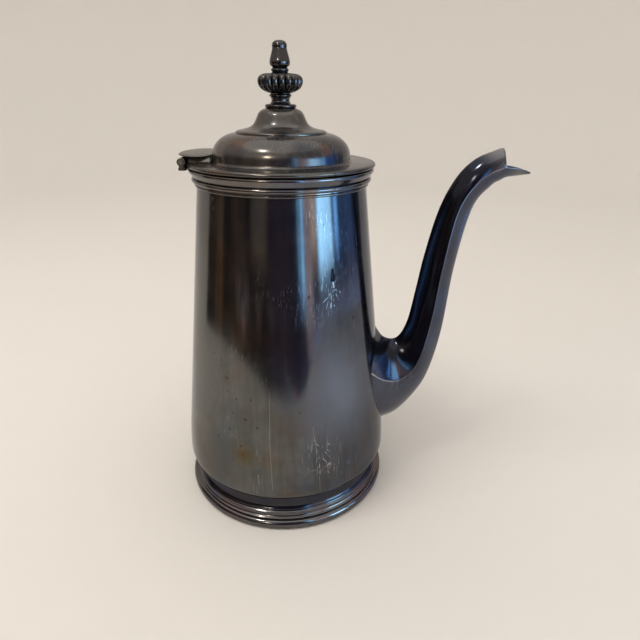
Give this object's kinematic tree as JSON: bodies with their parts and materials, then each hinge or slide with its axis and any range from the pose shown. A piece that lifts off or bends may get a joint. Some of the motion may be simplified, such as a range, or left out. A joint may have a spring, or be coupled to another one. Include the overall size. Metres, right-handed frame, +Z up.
{
  "type": "coffee pot",
  "caption": "Tall tapered coffee pot in tarnished silver plate, with a swan-neck spout, a hinged domed lid with a turned finial and a side handle.",
  "frame": {"origin": "centre of the foot on the surface that the pot stands on, on the axis of the body", "axes": "+Z up along the axis of the body, +X towards the spout, +Y towards the side handle; the lid's hinge is on the -X side"},
  "size_m": [0.1791, 0.166, 0.233],
  "materials": {
    "body_silver": "silver plate under an even dark tarnish, polished, with fine scratches",
    "foot_silver": "silver plate, dark blue-black tarnish, polished on the bead",
    "rim_silver": "silver plate, dark tarnish in the grooves, worn bright on the crests",
    "spout_silver": "silver plate, blue-black tarnish",
    "lid_silver": "silver plate, grey-brown clouded tarnish",
    "finial_silver": "cast silver plate, near-black in the flutes",
    "hinge_silver": "silver plate, dull brown-grey tarnish",
    "socket_silver": "silver plate, dark tarnish",
    "steel": "dull nickel silver and steel",
    "ebonised_wood": "ebonised fruitwood, satin"
  },
  "bodies": {
    "pot": {"body_shell": "body_silver", "bottom_plate": "body_silver", "foot_skirt": "foot_silver", "foot_edge_bead": "foot_silver", "rim_band_upper": "rim_silver", "rim_band_lower": "rim_silver", "spout_near_half": "spout_silver", "spout_far_half": "spout_silver", "hinge_bracket": "hinge_silver", "hinge_pin": "steel", "handle_socket_upper": "socket_silver", "handle_socket_lower": "socket_silver", "handle_grip": "ebonised_wood", "handle_pins": "steel"},
    "lid": {"lid_leaf": "hinge_silver", "hinge_cover": "hinge_silver", "lid_dome": "lid_silver", "lid_brim_bead": "lid_silver", "lid_bezel": "lid_silver", "lid_crown": "lid_silver", "finial_collar": "finial_silver", "finial_stem": "finial_silver", "finial_knop": "finial_silver", "finial_neck": "finial_silver", "finial_tip": "finial_silver", "finial_stud": "steel", "finial_washer": "steel", "finial_nut": "steel"}
  },
  "joints": [
    {"name": "lid_hinge", "type": "hinge", "parent": "pot", "child": "lid", "pos_m": [-0.045, 0, 0.1822], "axis": [0, -1, 0], "range_deg": [0, 100]}
  ]
}
